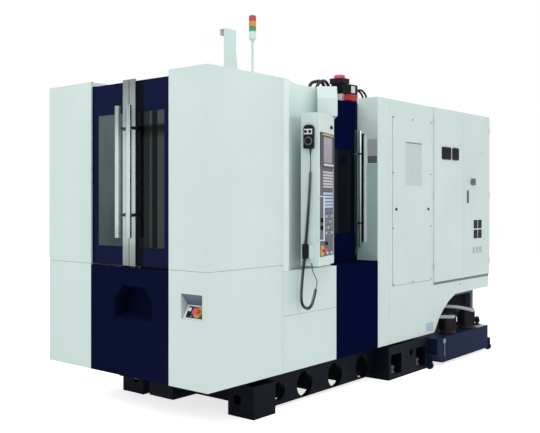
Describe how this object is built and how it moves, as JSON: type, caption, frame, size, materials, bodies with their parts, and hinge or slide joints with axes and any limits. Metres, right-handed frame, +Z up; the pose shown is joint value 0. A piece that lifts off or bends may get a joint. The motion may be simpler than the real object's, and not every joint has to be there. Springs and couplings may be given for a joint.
{
  "type": "cnc machining center",
  "caption": "Horizontal machining center in full covers, with a front pallet station behind twin sliding doors, an operator door, a swinging pendant, a cabinet and a coolant tank.",
  "frame": {"origin": "on the floor, midway between the four anchor bolts of the bed", "axes": "+Z up from the floor, +Y from the pallet station to the rear, +X to the operator's side"},
  "size_m": [1.959, 4.3919, 3.018],
  "materials": {
    "pale_paint": "satin",
    "navy_paint": "gloss",
    "bed_paint": "painted",
    "tank_paint": "satin",
    "iron": "painted",
    "steel": "brushed",
    "window": "tinted",
    "black_plastic": "matt",
    "grey_plastic": "satin",
    "red_plastic": "gloss",
    "white_plastic": "gloss",
    "lens": "translucent",
    "cord_rubber": "matt",
    "frame_paint": "satin"
  },
  "bodies": {
    "root": {"bed": "bed_paint", "levelling_jacks": "steel", "left_front_cover": "pale_paint", "left_front_skirt": "pale_paint", "right_front_cover": "pale_paint", "right_front_skirt": "pale_paint", "front_apron": "navy_paint", "pendant_bay": "pale_paint", "side_skirts": "pale_paint", "side_apron": "navy_paint", "rear_side_cover": "pale_paint", "cabinet": "pale_paint", "left_side_cover": "pale_paint", "rear_cover": "pale_paint", "roof": "pale_paint", "cover_frame": "frame_paint", "magazine_frame": "iron", "tower_pole": "pale_paint", "tower_lenses": "lens", "pendant_arm": "pale_paint", "station_panel": "white_plastic", "tank": "tank_paint", "coolant_pumps": "black_plastic"},
    "left_door": {"left_front_door": "navy_paint", "left_door_window": "window", "left_door_post": "steel"},
    "right_door": {"right_front_door": "navy_paint", "right_door_window": "window", "right_door_post": "steel"},
    "operator_door": {"side_door": "navy_paint", "side_door_window": "window", "side_door_handle": "steel"},
    "cabinet_door_1": {"front_cabinet_door": "pale_paint"},
    "cabinet_door_2": {"rear_cabinet_door": "pale_paint"},
    "switch": {"main_switch": "black_plastic"},
    "magazine_hatch": {"magazine_door": "pale_paint"},
    "cross_slide": {"column": "bed_paint", "column_motor": "black_plastic", "column_hoses": "cord_rubber"},
    "head": {"spindle_head": "iron"},
    "spindle_shaft": {"spindle": "steel"},
    "table": {"table_saddle": "iron"},
    "rotary": {"rotary_table": "iron", "table_pallet": "iron"},
    "lift": {"changer_lift": "steel"},
    "changer": {"changer_fork": "pale_paint", "station_pallet": "iron"},
    "magazine": {"magazine_disc": "iron"},
    "pendant": {"pendant_housing": "pale_paint", "pendant_panel": "grey_plastic", "pulse_unit": "black_plastic", "pulse_lead": "cord_rubber", "pulse_curl": "cord_rubber"},
    "knob_1": {"feed_knob": "black_plastic"},
    "knob_2": {"speed_knob": "black_plastic"},
    "stop_1": {"pendant_estop": "red_plastic"},
    "stop_2": {"station_stop": "red_plastic"},
    "key_1": {"station_key": "white_plastic"},
    "wheels_1": {"tank_wheels_1": "black_plastic"},
    "wheels_2": {"tank_wheels_2": "black_plastic"}
  },
  "joints": [
    {"name": "left_door_slide", "type": "slide", "parent": "root", "child": "left_door", "axis": [-1, 0, 0], "range_m": [0, 0.33]},
    {"name": "right_door_slide", "type": "slide", "parent": "root", "child": "right_door", "axis": [1, 0, 0], "range_m": [0, 0.33]},
    {"name": "operator_door_slide", "type": "slide", "parent": "root", "child": "operator_door", "axis": [0, -1, 0], "range_m": [0, 0.48]},
    {"name": "cabinet_door_1_hinge", "type": "hinge", "parent": "root", "child": "cabinet_door_1", "pos_m": [0.802, 1.36, 1.6], "axis": [0, 0, -1], "range_deg": [0, 110]},
    {"name": "cabinet_door_2_hinge", "type": "hinge", "parent": "root", "child": "cabinet_door_2", "pos_m": [0.802, 2.6, 1.6], "axis": [0, 0, 1], "range_deg": [0, 110]},
    {"name": "main_switch_turn", "type": "hinge", "parent": "cabinet_door_2", "child": "switch", "pos_m": [0.8, 2.179, 1.757], "axis": [1, 0, 0], "range_deg": [0, 90]},
    {"name": "magazine_hatch_hinge", "type": "hinge", "parent": "root", "child": "magazine_hatch", "pos_m": [-0.9515, 0.927, 1.5], "axis": [0, 0, -1], "range_deg": [0, 110]},
    {"name": "column_travel", "type": "slide", "parent": "root", "child": "cross_slide", "axis": [1, 0, 0], "range_m": [-0.28, 0.28]},
    {"name": "head_travel", "type": "slide", "parent": "cross_slide", "child": "head", "axis": [0, 0, 1], "range_m": [-0.28, 0.28]},
    {"name": "spindle_spin", "type": "hinge", "parent": "head", "child": "spindle_shaft", "pos_m": [0, 0.356, 1.48], "axis": [0, 1, 0], "continuous": true},
    {"name": "table_travel", "type": "slide", "parent": "root", "child": "table", "axis": [0, 1, 0], "range_m": [-0.474, 0.126]},
    {"name": "rotary_turn", "type": "hinge", "parent": "table", "child": "rotary", "pos_m": [0, 0.08, 0.76], "axis": [0, 0, 1], "continuous": true},
    {"name": "changer_raise", "type": "slide", "parent": "root", "child": "lift", "axis": [0, 0, 1], "range_m": [0, 0.06]},
    {"name": "changer_turn", "type": "hinge", "parent": "lift", "child": "changer", "pos_m": [0, -0.824, 0.93], "axis": [0, 0, 1], "range_deg": [0, 180]},
    {"name": "magazine_turn", "type": "hinge", "parent": "root", "child": "magazine", "pos_m": [-0.815, 0.626, 1.55], "axis": [1, 0, 0], "continuous": true},
    {"name": "pendant_swing", "type": "hinge", "parent": "root", "child": "pendant", "pos_m": [0.785, -0.425, 2.23], "axis": [0, 0, 1], "range_deg": [0, 60]},
    {"name": "feed_knob_turn", "type": "hinge", "parent": "pendant", "child": "knob_1", "pos_m": [0.94686, -0.6734, 1.421], "axis": [0.9511, 0.309, 0], "range_deg": [-135, 135]},
    {"name": "speed_knob_turn", "type": "hinge", "parent": "pendant", "child": "knob_2", "pos_m": [0.94686, -0.6734, 1.364], "axis": [0.9511, 0.309, 0], "range_deg": [-135, 135]},
    {"name": "pendant_stop_push", "type": "slide", "parent": "pendant", "child": "stop_1", "axis": [-0.9511, -0.309, 0], "range_m": [0, 0.006], "stiffness_N_per_m": 800, "springref_m": -0.003},
    {"name": "station_stop_push", "type": "slide", "parent": "root", "child": "stop_2", "axis": [0, 0.5336, -0.8457], "range_m": [0, 0.006], "stiffness_N_per_m": 800, "springref_m": -0.005},
    {"name": "station_key_push", "type": "slide", "parent": "root", "child": "key_1", "axis": [0, 0.5336, -0.8457], "range_m": [0, 0.003], "stiffness_N_per_m": 500, "springref_m": -0.004},
    {"name": "tank_wheels_1_spin", "type": "hinge", "parent": "root", "child": "wheels_1", "pos_m": [0.858, 1.162, 0.036], "axis": [0, 1, 0], "continuous": true},
    {"name": "tank_wheels_2_spin", "type": "hinge", "parent": "root", "child": "wheels_2", "pos_m": [-0.5, 1.306, 0.036], "axis": [0, 1, 0], "continuous": true}
  ]
}
